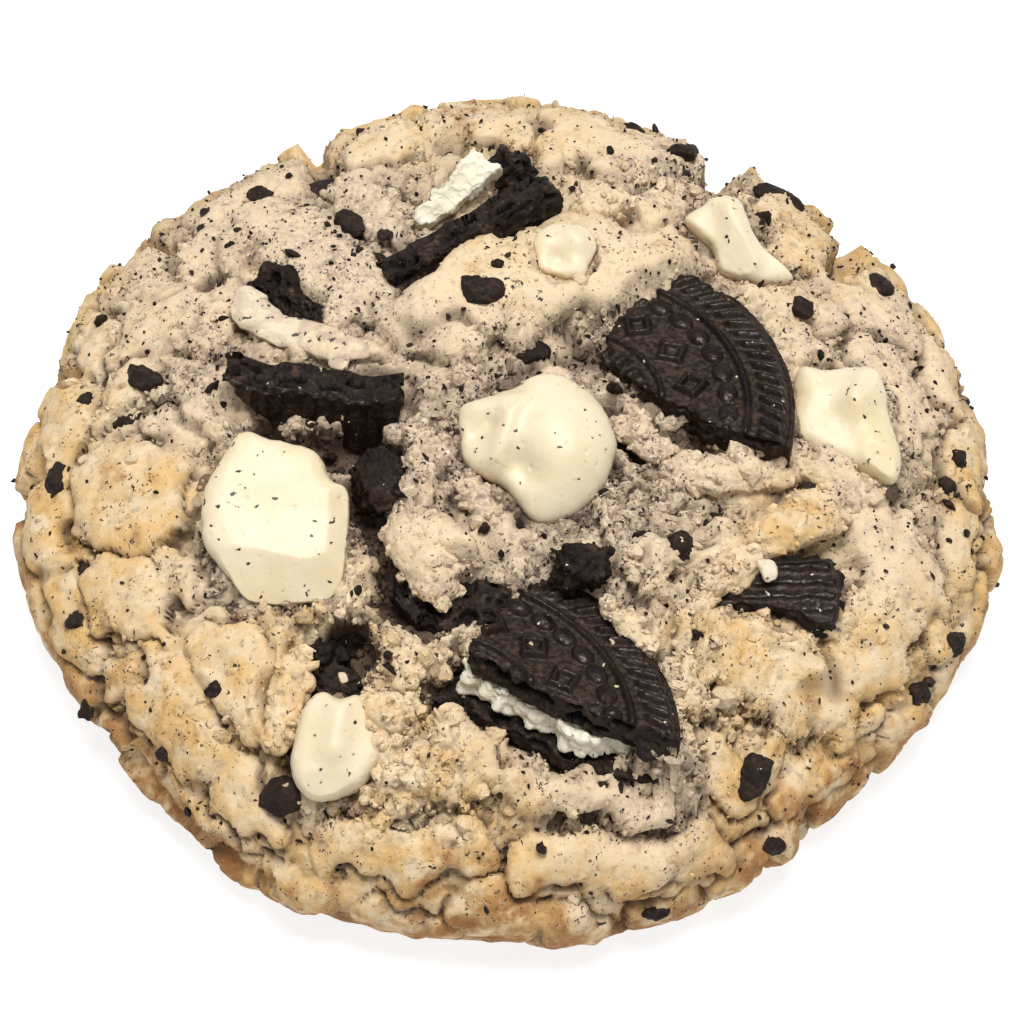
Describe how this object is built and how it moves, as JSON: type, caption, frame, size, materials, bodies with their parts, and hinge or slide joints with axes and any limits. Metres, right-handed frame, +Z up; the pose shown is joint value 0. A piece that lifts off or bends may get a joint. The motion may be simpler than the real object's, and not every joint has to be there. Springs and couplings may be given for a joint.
{
  "type": "cookies and cream cookie",
  "caption": "Thick round baked cookie with a cracked, craggy top, white chips and broken pieces of a dark sandwich biscuit with cream.",
  "frame": {"origin": "on the resting surface, under the middle of the cookie's outline", "axes": "+Z up through the domed top, +X to the right and +Y away from the viewer as pictured"},
  "size_m": [0.096, 0.0964, 0.0267],
  "materials": {
    "dough": "matt baked dough, golden at the rim, greyed by dark crumbs",
    "white_chip": "satin ivory",
    "dark_biscuit": "near-black baked biscuit, satin on its pressed face, matt where broken",
    "cream": "matt off-white sugar cream"
  },
  "bodies": {
    "root": {"dough": "dough", "chip_center": "white_chip", "chip_left": "white_chip", "chip_low_left": "white_chip", "chip_right": "white_chip", "chip_top_right": "white_chip", "chip_top_center": "white_chip", "wafer_embossed": "dark_biscuit", "wafer_lower_top": "dark_biscuit", "cream_lower": "cream", "wafer_lower_bottom": "dark_biscuit", "wafer_left": "dark_biscuit", "wafer_left_back": "dark_biscuit", "wafer_top": "dark_biscuit", "wafer_top_back": "dark_biscuit", "wafer_right": "dark_biscuit", "wafer_under": "dark_biscuit", "wafer_low_left": "dark_biscuit", "cream_top": "cream", "chunk_center": "dark_biscuit", "chunk_gap": "dark_biscuit"}
  },
  "joints": []
}
